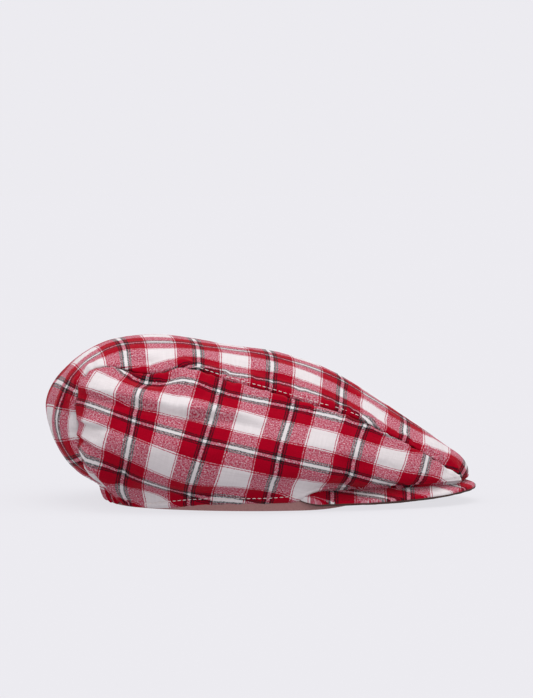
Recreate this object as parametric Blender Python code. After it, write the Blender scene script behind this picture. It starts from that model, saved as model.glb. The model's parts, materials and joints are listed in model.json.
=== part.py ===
"""Child's flat cap in woven check cotton, lying on its hem.

Pieces: a top panel from the rear hem over the crown to the front, two side panels, a cloth-covered
peak under the crown's front, a sweatband ring inside the hem, and a gathered band at the rear.
Units are metres. +X is the front, +Z is up, the cap is as long behind X = 0 as before it, and it
stands on Z = 0. Its right side is at -Y.
"""

from collections import namedtuple
from math import acos, asin, cos, exp, pi, sin, sqrt

import bmesh
import bpy
import numpy as np

# Cloth, and the space that is left between two pieces
CLOTH_WALL = 0.0014
PIECE_GAP = 0.0004

# Head opening, an oval, and the sweatband round it
OPENING_LENGTH = 0.1720
OPENING_WIDTH = 0.1370
SWEATBAND_WALL = 0.0014
SWEATBAND_HEIGHT = 0.0260
SWEATBAND_FRONT_LIFT = 0.0110

# Crown, past the opening and above the floor
REAR_OVERHANG = 0.0345
SIDE_OVERHANG = 0.0230
CROWN_HEIGHT = 0.0974
HEM_LIFT = 0.0050
HEM_BAND = 0.0050

# Peak, a board bent down at both sides
PEAK_LENGTH = 0.0451
PEAK_WRAP = 0.0607
PEAK_HORN_WIDTH = 0.0030
PEAK_THICKNESS = 0.0036
PEAK_HORN_THICKNESS = 0.0014
PEAK_TIP_HEIGHT = 0.0066
PEAK_HORN_HEIGHT = 0.0019
PEAK_BEND_RADIUS = 0.1010
PEAK_FRONT_SHOW = 0.0043
PEAK_SIDE_SHOW = 0.0072

# Gathered band at the rear of the hem
BACK_BAND_WALL = 0.0022
BACK_BAND_END_GAP = 0.0014
BACK_BAND_FLOOR_GAP = 0.0008
GATHER_DEPTH = 0.0010
GATHER_COUNT = 15

# Curves: how the crown's middle, shoulder and underside round off, how the peak falls to its tip,
# how soon the hem rises behind the peak, and where the sweatband's lower edge starts to lift
CROWN_DOME = 2.2
SHOULDER_FULLNESS = 0.32
UNDERSIDE_FULLNESS = 0.30
PEAK_FALL_POWER = 1.8
HORN_TAPER_POWER = 10
HEM_RISE_SLOPE = 0.8
HEM_ROUNDING = 0.0015
FRONT_LIFT_START = 0.375
FOLD_FADE = 0.020

# Facets, the samples that space them evenly, and the rows at each edge that no fold reaches
STATIONS = 54
SAMPLES_PER_SECTION = 20
FOLD_MARGIN = 2
TOP_STEPS = 7
SHOULDER_STEPS = 5
UNDERSIDE_STEPS = 4
SWEATBAND_STEPS = 64
PEAK_STEPS = 40
PEAK_BOARD_STEPS = 4
PEAK_RIM_STEPS = 3
STEPS_PER_GATHER = 4
SMOOTH_ANGLE = pi / 4

# Linear colours and roughness of the cloth
CHECK_RED = (0.45, 0.02, 0.05)
GATHERED_RED = (0.40, 0.05, 0.07)
BAND_ROSE = (0.41, 0.20, 0.195)
COTTON_ROUGHNESS = 0.9

# The crown's sections from the rear hem to the front. x is -1 at the crown's rear, 0 and 1 at the
# opening's rear and front, and 2 at the crown's front. y is a share of the crown's half width and
# z of its height. hem runs from the hem's rear end to its front end, and lift and band are shares
# of the hem's height above the floor and of its stitched band.
Section = namedtuple(
    "Section", "centre_x centre_z seam_x seam_y seam_z bulge_x bulge_y bulge_z hem lift band"
)
SECTIONS = [
    Section(-0.154, 0.129, 0.031, 0.377, 0.082, 0.037, 0.388, 0.062, 0.000, 0.80, 0.2),
    Section(-0.423, 0.167, -0.035, 0.404, 0.159, 0.010, 0.470, 0.118, 0.021, 0.55, 0.4),
    Section(-0.643, 0.241, -0.252, 0.448, 0.226, -0.093, 0.568, 0.164, 0.051, 0.40, 0.6),
    Section(-0.829, 0.344, -0.386, 0.497, 0.308, -0.180, 0.667, 0.226, 0.088, 0.38, 0.8),
    Section(-0.959, 0.462, -0.423, 0.530, 0.441, -0.165, 0.765, 0.298, 0.129, 0.42, 1.0),
    Section(-1.000, 0.585, -0.420, 0.546, 0.585, -0.064, 0.836, 0.349, 0.169, 0.55, 1.0),
    Section(-0.884, 0.708, -0.348, 0.546, 0.734, 0.025, 0.891, 0.380, 0.204, 0.70, 1.0),
    Section(-0.487, 0.861, -0.125, 0.563, 0.838, 0.080, 0.934, 0.385, 0.239, 0.80, 1.0),
    Section(0.008, 0.962, 0.054, 0.585, 0.844, 0.147, 0.967, 0.375, 0.279, 0.88, 1.0),
    Section(0.141, 1.000, 0.165, 0.612, 0.820, 0.228, 0.991, 0.359, 0.329, 0.95, 1.0),
    Section(0.281, 0.978, 0.284, 0.628, 0.850, 0.322, 1.000, 0.339, 0.385, 1.00, 1.0),
    Section(0.426, 0.934, 0.415, 0.634, 0.775, 0.426, 0.989, 0.323, 0.450, 1.00, 1.0),
    Section(0.577, 0.896, 0.566, 0.623, 0.704, 0.554, 0.951, 0.308, 0.525, 1.00, 1.0),
    Section(0.705, 0.830, 0.688, 0.601, 0.641, 0.682, 0.885, 0.287, 0.600, 1.00, 0.6),
    Section(0.822, 0.731, 0.809, 0.568, 0.572, 0.804, 0.798, 0.257, 0.686, 1.00, 0.3),
    Section(0.935, 0.598, 0.915, 0.525, 0.488, 0.920, 0.689, 0.226, 0.776, 1.00, 0.2),
    Section(1.228, 0.462, 1.130, 0.437, 0.376, 1.179, 0.552, 0.190, 0.866, 1.00, 0.2),
    Section(1.645, 0.341, 1.522, 0.350, 0.277, 1.571, 0.415, 0.159, 0.942, 1.00, 0.2),
    Section(1.909, 0.263, 1.730, 0.273, 0.207, 1.757, 0.308, 0.155, 0.979, 1.00, 0.2),
    Section(2.000, 0.195, 1.816, 0.243, 0.180, 1.826, 0.262, 0.152, 0.992, 1.00, 0.2),
    Section(1.998, 0.126, 1.865, 0.221, 0.134, 1.873, 0.225, 0.133, 1.000, 1.00, 0.2),
]

# Folds and dents of the crown, seen from the side: a line from one place to another, in shares of
# the crown's length and height, with its height over the cloth and its half width. A dent has a
# height below zero. Side -1 is the cap's right, 1 its left.
Fold = namedtuple("Fold", "side from_x from_z to_x to_z height half_width")
FOLDS = [
    Fold(-1, 0.220, 0.765, 0.300, 0.760, -0.0042, 0.0065),
    Fold(-1, 0.095, 0.700, 0.185, 0.675, 0.0018, 0.0070),
    Fold(-1, 0.185, 0.675, 0.270, 0.640, 0.0024, 0.0070),
    Fold(-1, 0.270, 0.640, 0.400, 0.615, 0.0020, 0.0080),
    Fold(-1, 0.150, 0.555, 0.380, 0.515, -0.0018, 0.0090),
    Fold(-1, 0.090, 0.480, 0.125, 0.440, -0.0020, 0.0050),
    Fold(-1, 0.095, 0.370, 0.135, 0.330, -0.0018, 0.0050),
    Fold(-1, 0.700, 0.170, 0.690, 0.330, -0.0012, 0.0060),
    Fold(-1, 0.600, 0.760, 0.720, 0.640, -0.0012, 0.0050),
    Fold(1, 0.190, 0.760, 0.260, 0.740, -0.0032, 0.0070),
    Fold(1, 0.110, 0.650, 0.330, 0.600, 0.0022, 0.0080),
    Fold(1, 0.160, 0.520, 0.420, 0.470, -0.0020, 0.0090),
    Fold(1, 0.560, 0.560, 0.640, 0.420, -0.0018, 0.0080),
    Fold(1, 0.500, 0.800, 0.600, 0.750, -0.0012, 0.0060),
]

# The gathered band's section: out from the sweatband and up, as shares of its wall and height
BandCorner = namedtuple("BandCorner", "out up")
BAND_SECTION = [
    BandCorner(0.0, 0.0),
    BandCorner(0.6, 0.0),
    BandCorner(1.0, 0.2),
    BandCorner(1.0, 0.7),
    BandCorner(0.7, 1.0),
    BandCorner(0.0, 1.0),
]


def oval_half_width(x, centre_x, length, width):
    """Half the width of an oval at x, or zero past its ends."""
    share = (x - centre_x) / (length / 2)
    return width / 2 * sqrt(max(0.0, 1.0 - share * share))


def oval_rear_x(half_width, centre_x, length, width):
    """Where the rear half of an oval has this half width."""
    share = half_width / (width / 2)
    return centre_x - length / 2 * sqrt(max(0.0, 1.0 - share * share))


# Sizes that follow
SWEATBAND_LENGTH = OPENING_LENGTH + 2 * SWEATBAND_WALL
SWEATBAND_WIDTH = OPENING_WIDTH + 2 * SWEATBAND_WALL
ROUND_BAND_LENGTH = SWEATBAND_LENGTH + 2 * PIECE_GAP
ROUND_BAND_WIDTH = SWEATBAND_WIDTH + 2 * PIECE_GAP
HEM_LENGTH = ROUND_BAND_LENGTH + 2 * CLOTH_WALL
HEM_WIDTH = ROUND_BAND_WIDTH + 2 * CLOTH_WALL
TOTAL_LENGTH = REAR_OVERHANG + OPENING_LENGTH + PEAK_LENGTH
REAR_X = -TOTAL_LENGTH / 2
TIP_X = TOTAL_LENGTH / 2
OPENING_REAR_X = REAR_X + REAR_OVERHANG
OPENING_X = OPENING_REAR_X + OPENING_LENGTH / 2
OPENING_FRONT_X = OPENING_REAR_X + OPENING_LENGTH
CROWN_FRONT_X = TIP_X - PEAK_FRONT_SHOW
CROWN_LENGTH = CROWN_FRONT_X - REAR_X
CROWN_HALF_WIDTH = OPENING_WIDTH / 2 + SIDE_OVERHANG
HORN_X = OPENING_FRONT_X - PEAK_WRAP
PEAK_REACH = TIP_X - HORN_X
PEAK_HALF_WIDTH = PEAK_HORN_WIDTH + oval_half_width(
    HORN_X, OPENING_X, SWEATBAND_LENGTH, SWEATBAND_WIDTH
)
PEAK_FALL = PEAK_HORN_HEIGHT + PEAK_HALF_WIDTH**2 / (2 * PEAK_BEND_RADIUS) - PEAK_TIP_HEIGHT
REAR_CORNER_Y = SECTIONS[0].seam_y * CROWN_HALF_WIDTH


def along(share):
    """x of a section's place: rear overhang, opening and peak each stretch by themselves."""
    if share < 0:
        return OPENING_REAR_X + share * REAR_OVERHANG
    if share <= 1:
        return OPENING_REAR_X + share * OPENING_LENGTH
    return OPENING_FRONT_X + (share - 1) * (CROWN_FRONT_X - OPENING_FRONT_X)


HEM_REAR_X = oval_rear_x(REAR_CORNER_Y, OPENING_X, HEM_LENGTH, HEM_WIDTH)
HEM_FRONT_X = along(SECTIONS[-1].seam_x)


def larger(a, b, rounding):
    """The larger of two lengths, rounded where they cross."""
    return (a + b + sqrt((a - b) ** 2 + rounding**2)) / 2


def peak_underside(x, y):
    """Height of the peak's underside: an arc that falls to the tip, bent down at both sides."""
    share = min(max((TIP_X - x) / PEAK_REACH, 0.0), 1.0)
    rise = 1.0 - (1.0 - share) ** PEAK_FALL_POWER
    return PEAK_TIP_HEIGHT + PEAK_FALL * rise - y * y / (2 * PEAK_BEND_RADIUS)


def clear_of_peak(x, y):
    """Lowest height at which cloth stays clear of the peak's upper side."""
    return peak_underside(x, y) + PEAK_THICKNESS + PIECE_GAP


def hem_half_width(x):
    """Half the width of the crown's hem, round the sweatband and then on the peak."""
    on_band = oval_half_width(x, OPENING_X, HEM_LENGTH, HEM_WIDTH)
    if x < HORN_X:
        return on_band
    length = 2 * (PEAK_REACH - PEAK_FRONT_SHOW)
    width = 2 * (PEAK_HALF_WIDTH - PEAK_SIDE_SHOW)
    return larger(on_band, oval_half_width(x, HORN_X, length, width), HEM_ROUNDING)


def hem_height(x, half_width, lift):
    """Height of the crown's hem, clear of the floor and of the peak below it."""
    on_peak = clear_of_peak(x, half_width - CLOTH_WALL)
    before_peak = HEM_RISE_SLOPE * max(0.0, HORN_X - x)
    return larger(lift, on_peak - before_peak, HEM_ROUNDING)


def section_guides(section):
    """Centre, seam, bulge, hem and hem crease of the crown's left half at one section, in metres."""
    hem_x = HEM_REAR_X + section.hem * (HEM_FRONT_X - HEM_REAR_X)
    hem_y = hem_half_width(hem_x)
    hem_z = hem_height(hem_x, hem_y, section.lift * HEM_LIFT)
    return [
        (along(section.centre_x), 0.0, section.centre_z * CROWN_HEIGHT),
        (along(section.seam_x), section.seam_y * CROWN_HALF_WIDTH, section.seam_z * CROWN_HEIGHT),
        (along(section.bulge_x), section.bulge_y * CROWN_HALF_WIDTH, section.bulge_z * CROWN_HEIGHT),
        (hem_x, hem_y, hem_z + section.band * HEM_BAND),
        (hem_x, hem_y, hem_z),
    ]


SECTION_GUIDES = np.array([section_guides(section) for section in SECTIONS])


def guides_at(place):
    """The guide points at a place along the sections, on smooth curves through all of them."""
    first = min(int(place), len(SECTION_GUIDES) - 2)
    share = place - first
    last = len(SECTION_GUIDES) - 1
    before, here = SECTION_GUIDES[max(first - 1, 0)], SECTION_GUIDES[first]
    there, after = SECTION_GUIDES[first + 1], SECTION_GUIDES[min(first + 2, last)]
    return 0.5 * (
        2 * here
        + (there - before) * share
        + (2 * before - 5 * here + 4 * there - after) * share**2
        + (3 * here - before - 3 * there + after) * share**3
    )


def bent(start, corner, end, steps):
    """Points after start on a smooth bend from start to end that aims at a corner."""
    shares = [step / steps for step in range(1, steps + 1)]
    return [start * (1 - s) ** 2 + corner * (2 * s * (1 - s)) + end * s**2 for s in shares]


def bend_corner(side, below, fullness):
    """The corner of a bend that leaves the bulge upright: beside it, and part of the way up."""
    corner = (side + below) / 2
    bulge, other = (side, below) if side[1] > below[1] else (below, side)
    low = min(side[2], below[2])
    corner[1] = bulge[1]
    corner[2] = low + fullness * abs(bulge[2] - other[2])
    return corner


def half_rib(place):
    """Points of the crown's left half at one section, from its middle down to the hem."""
    centre, seam, bulge, crease, hem = guides_at(place)
    points = []
    for step in range(TOP_STEPS + 1):
        share = step / TOP_STEPS
        point = centre + (seam - centre) * share**CROWN_DOME
        point[1] = seam[1] * share
        points.append(point)
    points += bent(seam, bend_corner(bulge, seam, SHOULDER_FULLNESS), bulge, SHOULDER_STEPS)
    points += bent(bulge, bend_corner(bulge, crease, UNDERSIDE_FULLNESS), crease, UNDERSIDE_STEPS)
    points.append(hem)
    return points


def even_places(count):
    """Places along the sections that are evenly far apart on the crown."""
    fine = np.linspace(0, len(SECTIONS) - 1, SAMPLES_PER_SECTION * len(SECTIONS))
    middle = np.array([guides_at(place)[:2].mean(axis=0) for place in fine])
    lengths = np.concatenate([[0], np.cumsum(np.linalg.norm(np.diff(middle, axis=0), axis=1))])
    return np.interp(np.linspace(0, lengths[-1], count), lengths, fine)


def surface_normals(grid):
    """Unit normals of a grid of points, out of the cap."""
    normals = np.cross(np.gradient(grid, axis=0), np.gradient(grid, axis=1))
    return normals / np.linalg.norm(normals, axis=2, keepdims=True)


def fold_height(point):
    """How far the folds lift a point of the crown off its smooth form."""
    total = 0.0
    place = np.array([point[0], point[2]])
    for fold in FOLDS:
        if fold.side * point[1] <= 0:
            continue
        start = np.array([REAR_X + fold.from_x * CROWN_LENGTH, fold.from_z * CROWN_HEIGHT])
        end = np.array([REAR_X + fold.to_x * CROWN_LENGTH, fold.to_z * CROWN_HEIGHT])
        run = end - start
        share = np.clip((place - start) @ run / (run @ run), 0, 1)
        distance = np.linalg.norm(place - start - share * run)
        total += fold.height * exp(-((distance / fold.half_width) ** 2))
    return total * min(1.0, abs(point[1]) / FOLD_FADE)


def crown_surface():
    """Points and normals of the whole crown: rows from rear to front, columns from right to left."""
    rows = []
    for place in even_places(STATIONS + 1):
        left = half_rib(place)
        right = [point * np.array([1, -1, 1]) for point in left[:0:-1]]
        rows.append(right + left)
    for point in rows[-1]:
        point[2] = max(point[2], clear_of_peak(point[0] - CLOTH_WALL, point[1]))
    smooth = np.array(rows)
    heights = np.zeros((*smooth.shape[:2], 1))
    for station in range(FOLD_MARGIN, smooth.shape[0] - FOLD_MARGIN):
        for column in range(FOLD_MARGIN, smooth.shape[1] - FOLD_MARGIN):
            heights[station, column] = fold_height(smooth[station, column])
    folded = smooth + surface_normals(smooth) * heights
    return folded, surface_normals(folded)


def add_object(name, mesh, colour):
    """A named object with a material of its own."""
    material = bpy.data.materials.new(name)
    material.use_nodes = True
    shader = material.node_tree.nodes["Principled BSDF"]
    shader.inputs["Base Color"].default_value = (*colour, 1.0)
    shader.inputs["Roughness"].default_value = COTTON_ROUGHNESS
    shader.inputs["Metallic"].default_value = 0.0
    mesh.materials.append(material)
    part = bpy.data.objects.new(name, mesh)
    bpy.context.collection.objects.link(part)


def closed_mesh(name, points, faces):
    """A mesh of points and faces whose normals point out."""
    mesh = bpy.data.meshes.new(name)
    mesh.from_pydata([tuple(point) for point in points], [], faces)
    work = bmesh.new()
    work.from_mesh(mesh)
    bmesh.ops.recalc_face_normals(work, faces=work.faces)
    work.to_mesh(mesh)
    work.free()
    mesh.shade_smooth()
    mesh.set_sharp_from_angle(angle=SMOOTH_ANGLE)
    return mesh


def add_panel(name, outside, normals):
    """A sheet of check cloth with its outer side on a grid of points."""
    rows, columns = outside.shape[:2]
    inside = outside - normals * CLOTH_WALL
    points = list(outside.reshape(-1, 3)) + list(inside.reshape(-1, 3))
    below = rows * columns
    faces = []
    for row in range(rows - 1):
        for column in range(columns - 1):
            here = row * columns + column
            square = (here, here + 1, here + 1 + columns, here + columns)
            faces.append(square)
            faces.append(tuple(below + corner for corner in reversed(square)))
    rim = list(range(columns - 1))
    rim += [row * columns + columns - 1 for row in range(rows - 1)]
    rim += [(rows - 1) * columns + column for column in range(columns - 1, 0, -1)]
    rim += [row * columns for row in range(rows - 1, 0, -1)]
    for here, there in zip(rim, rim[1:] + rim[:1]):
        faces.append((here, below + here, below + there, there))
    add_object(name, closed_mesh(name, points, faces), CHECK_RED)


def seam_edges(surface, column):
    """The points of one seam, moved half a gap to either side of it."""
    step = surface[:, column + 1] - surface[:, column - 1]
    step = step / np.linalg.norm(step, axis=1, keepdims=True) * PIECE_GAP / 2
    return surface[:, column] - step, surface[:, column] + step


def add_crown():
    """The top panel and the two side panels, which meet at the seams and end behind its front edge."""
    surface, normals = crown_surface()
    right_seam = surface.shape[1] // 2 - TOP_STEPS
    left_seam = surface.shape[1] - 1 - right_seam
    right = surface[:, :right_seam + 1].copy()
    top = surface[:, right_seam:left_seam + 1].copy()
    left = surface[:, left_seam:].copy()
    right[:, -1], top[:, 0] = seam_edges(surface, right_seam)
    top[:, -1], left[:, 0] = seam_edges(surface, left_seam)
    add_panel("side_panel_right", right[:-1], normals[:-1, :right_seam + 1])
    add_panel("top_panel", top, normals[:, right_seam:left_seam + 1])
    add_panel("side_panel_left", left[:-1], normals[:-1, left_seam:])


def add_lofted(name, loops, colour, ring):
    """A solid through equal loops of points, closed in a ring or capped at both ends."""
    count, sides = len(loops), len(loops[0])
    points = [point for loop in loops for point in loop]
    faces = []
    for row in range(count if ring else count - 1):
        here, there = row * sides, (row + 1) % count * sides
        for side in range(sides):
            after = (side + 1) % sides
            faces.append((here + side, here + after, there + after, there + side))
    if not ring:
        faces.append(tuple(range(sides - 1, -1, -1)))
        faces.append(tuple((count - 1) * sides + side for side in range(sides)))
    add_object(name, closed_mesh(name, points, faces), colour)


def oval_point(turn, length, width, height):
    """A point of an oval round the opening's middle; the front is at turn zero."""
    return (OPENING_X + length / 2 * cos(turn), width / 2 * sin(turn), height)


def add_sweatband():
    """The plain ring inside the hem, which the cap stands on, lifted at the front over the peak."""
    loops = []
    for step in range(SWEATBAND_STEPS):
        turn = 2 * pi * step / SWEATBAND_STEPS
        lifted = max(0.0, (cos(turn) - FRONT_LIFT_START) / (1 - FRONT_LIFT_START))
        low = SWEATBAND_FRONT_LIFT * lifted**2
        high = low + SWEATBAND_HEIGHT
        loops.append([
            oval_point(turn, SWEATBAND_LENGTH, SWEATBAND_WIDTH, low),
            oval_point(turn, SWEATBAND_LENGTH, SWEATBAND_WIDTH, high),
            oval_point(turn, OPENING_LENGTH, OPENING_WIDTH, high),
            oval_point(turn, OPENING_LENGTH, OPENING_WIDTH, low),
        ])
    add_lofted("sweatband", loops, BAND_ROSE, ring=True)


def peak_loop(share):
    """The peak's section at a share of the way from its middle, 0, to a horn's end, -1 or 1."""
    horn_turn = acos((HORN_X - OPENING_X) / (ROUND_BAND_LENGTH / 2))
    inner = np.array(oval_point(share * horn_turn, ROUND_BAND_LENGTH, ROUND_BAND_WIDTH, 0.0)[:2])
    outer_turn = share * pi / 2
    outer = np.array([HORN_X + PEAK_REACH * cos(outer_turn), PEAK_HALF_WIDTH * sin(outer_turn)])
    taper = abs(share) ** HORN_TAPER_POWER
    thickness = PEAK_THICKNESS + (PEAK_HORN_THICKNESS - PEAK_THICKNESS) * taper
    width = np.linalg.norm(outer - inner)
    out = (outer - inner) / width
    rim = thickness / 2
    board_end = outer - out * rim
    under, over, nose = [], [], []
    for step in range(PEAK_BOARD_STEPS + 1):
        place = inner + (board_end - inner) * step / PEAK_BOARD_STEPS
        low = peak_underside(*place)
        under.append((*place, low))
        over.append((*place, low + thickness))
    middle = peak_underside(*board_end) + rim
    for step in range(1, PEAK_RIM_STEPS + 1):
        angle = pi * step / (PEAK_RIM_STEPS + 1) - pi / 2
        nose.append((*(board_end + out * rim * cos(angle)), middle + rim * sin(angle)))
    return under + nose + over[::-1]


def add_peak():
    """The bent crescent board, from the sweatband's outside to its round outer rim."""
    loops = [peak_loop(2 * step / PEAK_STEPS - 1) for step in range(PEAK_STEPS + 1)]
    add_lofted("peak", loops, CHECK_RED, ring=False)


def add_back_band():
    """The gathered casing round the sweatband's rear, under the top panel's rear hem."""
    centre, seam = SECTION_GUIDES[0][:2]
    end_turn = asin((REAR_CORNER_Y - BACK_BAND_END_GAP) / (ROUND_BAND_WIDTH / 2))
    steps = GATHER_COUNT * STEPS_PER_GATHER
    loops = []
    for step in range(steps + 1):
        turn = pi - end_turn * (2 * step / steps - 1)
        ridge = 0.5 + 0.5 * cos(2 * pi * GATHER_COUNT * step / steps)
        wall = BACK_BAND_WALL + GATHER_DEPTH * ridge
        across = abs(ROUND_BAND_WIDTH / 2 * sin(turn) / seam[1])
        under_panel = centre[2] + (seam[2] - centre[2]) * across**CROWN_DOME - 2 * PIECE_GAP
        height = under_panel - BACK_BAND_FLOOR_GAP
        loops.append([
            oval_point(
                turn,
                ROUND_BAND_LENGTH + 2 * corner.out * wall,
                ROUND_BAND_WIDTH + 2 * corner.out * wall,
                BACK_BAND_FLOOR_GAP + corner.up * height,
            )
            for corner in BAND_SECTION
        ])
    add_lofted("back_band", loops, GATHERED_RED, ring=False)


for old in list(bpy.data.objects):
    bpy.data.objects.remove(old, do_unlink=True)
add_crown()
add_sweatband()
add_peak()
add_back_band()
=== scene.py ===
"""Child's flat cap in red, white and black check cotton, lying on a pale floor.

The cloth panels start from the outer sides of the plain solids. Each is laid flat to place the check,
made fine, folded and puckered, and then given its wall. Lengths are in metres. The tables of marks,
folds, profiles, waves and drops are in millimetres, with marks and folds as the cap is seen square on
from its right. The cap's front is at +X and its right side at -Y.
"""

import json
from collections import namedtuple
from math import cos, pi, radians, sin

import bmesh
import bpy
import numpy as np
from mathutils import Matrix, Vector, kdtree, noise
from mathutils.interpolate import poly_3d_calc

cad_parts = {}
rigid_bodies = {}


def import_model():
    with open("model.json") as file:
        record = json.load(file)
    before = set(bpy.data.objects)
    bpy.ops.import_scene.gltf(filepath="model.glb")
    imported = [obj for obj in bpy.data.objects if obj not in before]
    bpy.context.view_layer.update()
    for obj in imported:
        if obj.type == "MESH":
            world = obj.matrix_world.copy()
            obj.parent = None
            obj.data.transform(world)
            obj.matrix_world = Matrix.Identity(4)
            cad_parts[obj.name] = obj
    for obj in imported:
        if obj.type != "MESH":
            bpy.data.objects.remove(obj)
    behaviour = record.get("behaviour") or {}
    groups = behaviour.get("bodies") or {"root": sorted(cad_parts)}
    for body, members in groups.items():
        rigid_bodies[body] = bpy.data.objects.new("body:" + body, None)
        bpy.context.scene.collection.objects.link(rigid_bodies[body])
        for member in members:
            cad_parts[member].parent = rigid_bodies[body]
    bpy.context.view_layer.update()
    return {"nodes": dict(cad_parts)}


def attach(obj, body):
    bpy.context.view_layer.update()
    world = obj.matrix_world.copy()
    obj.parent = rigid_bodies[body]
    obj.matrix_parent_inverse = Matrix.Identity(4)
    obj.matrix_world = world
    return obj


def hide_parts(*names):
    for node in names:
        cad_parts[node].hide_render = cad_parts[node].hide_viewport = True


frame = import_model()
for loaded in bpy.data.objects:
    loaded.select_set(False)

MM = 0.001

# Solids: corners this close are one, a face is part of a wall's edge if a side of it is as long as the
# wall is thick, and triangles that meet at up to this angle become one four-sided face
SAME_CORNER = 0.001 * MM
CLOTH_WALL = 1.4 * MM
WALL_TOLERANCE = 0.003 * MM
QUAD_ANGLE = radians(40)
UNWRAP_ROUNDS = 30

# Check: how far apart the lines that run across the cap and along it lie
ACROSS_PERIOD = 43.8 * MM
ALONG_PERIOD = 36.5 * MM

# Yarns: their pitch, how far a stripe's edge wanders, and the grain and the long streaks of uneven yarn,
# each by its size along and across the yarn and by how much it shows
THREAD_PITCH = 0.42 * MM
WANDER = 0.6 * MM
WANDER_SIZE = 0.8 * MM
SLUB_SIZES = (1.1 * MM, 0.7 * MM)
STREAK_SIZES = (22 * MM, 0.9 * MM)
SLUB = 1.3
STREAK = 0.16

# The eye mixes two yarns in this gamma, and where their colours differ the cloth looks a little darker
EYE_GAMMA = 2.6
CROSSING_SHADE = 0.08

# Crumple: soft unevenness of two sizes, the share of the finer one, and how deep it is in each cloth
WIDE_CRUMPLE = 7 * MM
FINE_CRUMPLE = 1.1 * MM
FINE_CRUMPLE_SHARE = 0.16
WEAVE_DEPTH = 0.04 * MM
CHECK_CRUMPLE = 0.9 * MM
ROSE_CRUMPLE = 0.35 * MM

# Topstitching: the stitches, the rows' distance from the seam and the hem, where along the cap the rows
# run, and how a row's path is gathered from the cloth beneath it
STITCH_PITCH = 3.1 * MM
STITCH_LENGTH = 2.3 * MM
STITCH_THICKNESS = 0.42 * MM
STITCH_LIFT = 0.4 * STITCH_THICKNESS
SEAM_STITCH_INSET = 1.5 * MM
HEM_STITCH_INSET = 3.4 * MM
SEAM_STITCH_RUN = (-38 * MM, 57 * MM)
HEM_STITCH_RUN = (-66 * MM, 19 * MM)
ROW_WIDTH = 0.7 * MM
ROW_STEP = 2.5 * MM
ROW_SMOOTHING = 4

# Colours, linear
RED_YARN = (0.240, 0.0010, 0.0095)
WHITE_YARN = (0.500, 0.460, 0.472)
BLACK_YARN = (0.007, 0.008, 0.009)
ROSE_CLOTH = (0.262, 0.136, 0.133)
# Painted shade: a plain dark colour on the peak's down-turned faces, standing for the shade under its
# edge
PEAK_UNDERSIDE_SHADE = (0.055, 0.031, 0.027)
THREAD_WHITE = (0.640, 0.560, 0.540)
FLOOR_PALE = (0.0680, 0.0673, 0.0705)
FLOOR_GLOW = (0.7175, 0.7090, 0.7450)
BACKDROP_PALE = (0.840, 0.831, 0.871)

# Finishes: the cloth's sheen is the bloom of short fibres, and plain cloth and thread vary in shade
CLOTH_ROUGHNESS = 0.95
CLOTH_SHEEN = 0.07
SHEEN_ROUGHNESS = 0.35
THREAD_ROUGHNESS = 0.7
FLOOR_ROUGHNESS = 0.9
ROSE_SHADES = (0.8, 1.2)
ROSE_GRAIN = 0.9 * MM
THREAD_SHADES = (0.85, 1.0)
THREAD_GRAIN = 0.3 * MM

# One half of the check's stripes, from the middle of its thin white line: share of half a period
# at which each colour starts
Stripe = namedtuple("Stripe", "start colour")
STRIPES = [
    Stripe(0.000, WHITE_YARN),
    Stripe(0.045, BLACK_YARN),
    Stripe(0.102, RED_YARN),
    Stripe(0.118, BLACK_YARN),
    Stripe(0.158, RED_YARN),
    Stripe(0.578, WHITE_YARN),
    Stripe(0.608, RED_YARN),
    Stripe(0.636, WHITE_YARN),
]

# Where the check's thin white lines show on the right side: the number of the line that runs across
# the cap and of the one that runs along it, and the place. A row with one number is a place on that
# line, and a fraction is a place between two lines: the broad white bands run from 0.31 to 0.69.
Mark = namedtuple("Mark", "across along x z")
SIDE_MARKS = [
    Mark(1, 1, -66, 72.6),
    Mark(1, 0, -72, 52.3),
    Mark(1, -1, -78, 21.6),
    Mark(1, None, -81.5, 5.4),
    Mark(2, 1, -24, 67.0),
    Mark(2, 0, -31, 41.0),
    Mark(2, -1, -40.5, 8.5),
    Mark(2, None, -42, 4.3),
    Mark(3, 1, 18, 57.9),
    Mark(3, 0, 9.5, 31.0),
    Mark(3, None, 5.5, 15.5),
    Mark(3, None, 4.5, 6.5),
    Mark(4, 1, 59.5, 46.4),
    Mark(4, None, 55, 37.8),
    Mark(4, 0, 50.5, 21.0),
    Mark(4, None, 49.5, 13.0),
    Mark(5, None, 95.5, 29.4),
    Mark(5, None, 93, 21.3),
    Mark(5, None, 90, 13.5),
    Mark(0.31, None, -95.5, 74.9),
    Mark(0.31, None, -101.5, 42.5),
    Mark(0.31, None, -102, 34.8),
    Mark(0.69, None, -81.5, 66.9),
    Mark(0.69, None, -85.5, 44.0),
    Mark(0.69, None, -90.5, 24.4),
    Mark(1.31, None, -60, 39.0),
    Mark(1.31, None, -63.5, 26.9),
    Mark(1.69, None, -47, 36.0),
    Mark(1.69, None, -49.5, 25.9),
    Mark(4.31, None, 70.5, 40.9),
    Mark(4.31, None, 64.5, 28.3),
    Mark(4.31, None, 61.5, 14.1),
    Mark(4.69, None, 85, 35.5),
    Mark(4.69, None, 79, 19.0),
    Mark(5.31, None, 105, 22.6),
    Mark(5.31, None, 103, 15.1),
    Mark(5.69, None, 113, 17.2),
    Mark(None, 1, -46.5, 73.5),
    Mark(None, 1, 71.5, 43.9),
    Mark(None, 0.7, 68, 34.2),
    Mark(None, 0.7, 82.5, 31.1),
    Mark(None, 0.3, 62, 27.6),
    Mark(None, 0.3, 78.5, 22.9),
    Mark(None, 0.3, 93, 19.0),
    Mark(None, 0.3, 109, 17.1),
    Mark(None, 0, -102, 60.6),
    Mark(None, 0, -92, 58.5),
    Mark(None, 0, -53.5, 47.1),
    Mark(None, 0, 68.5, 16.2),
    Mark(None, -1, -101, 33),
    Mark(None, -1, -97.5, 32),
    Mark(None, -1, -92.5, 29),
    Mark(None, -1, -60, 15.1),
]
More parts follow.
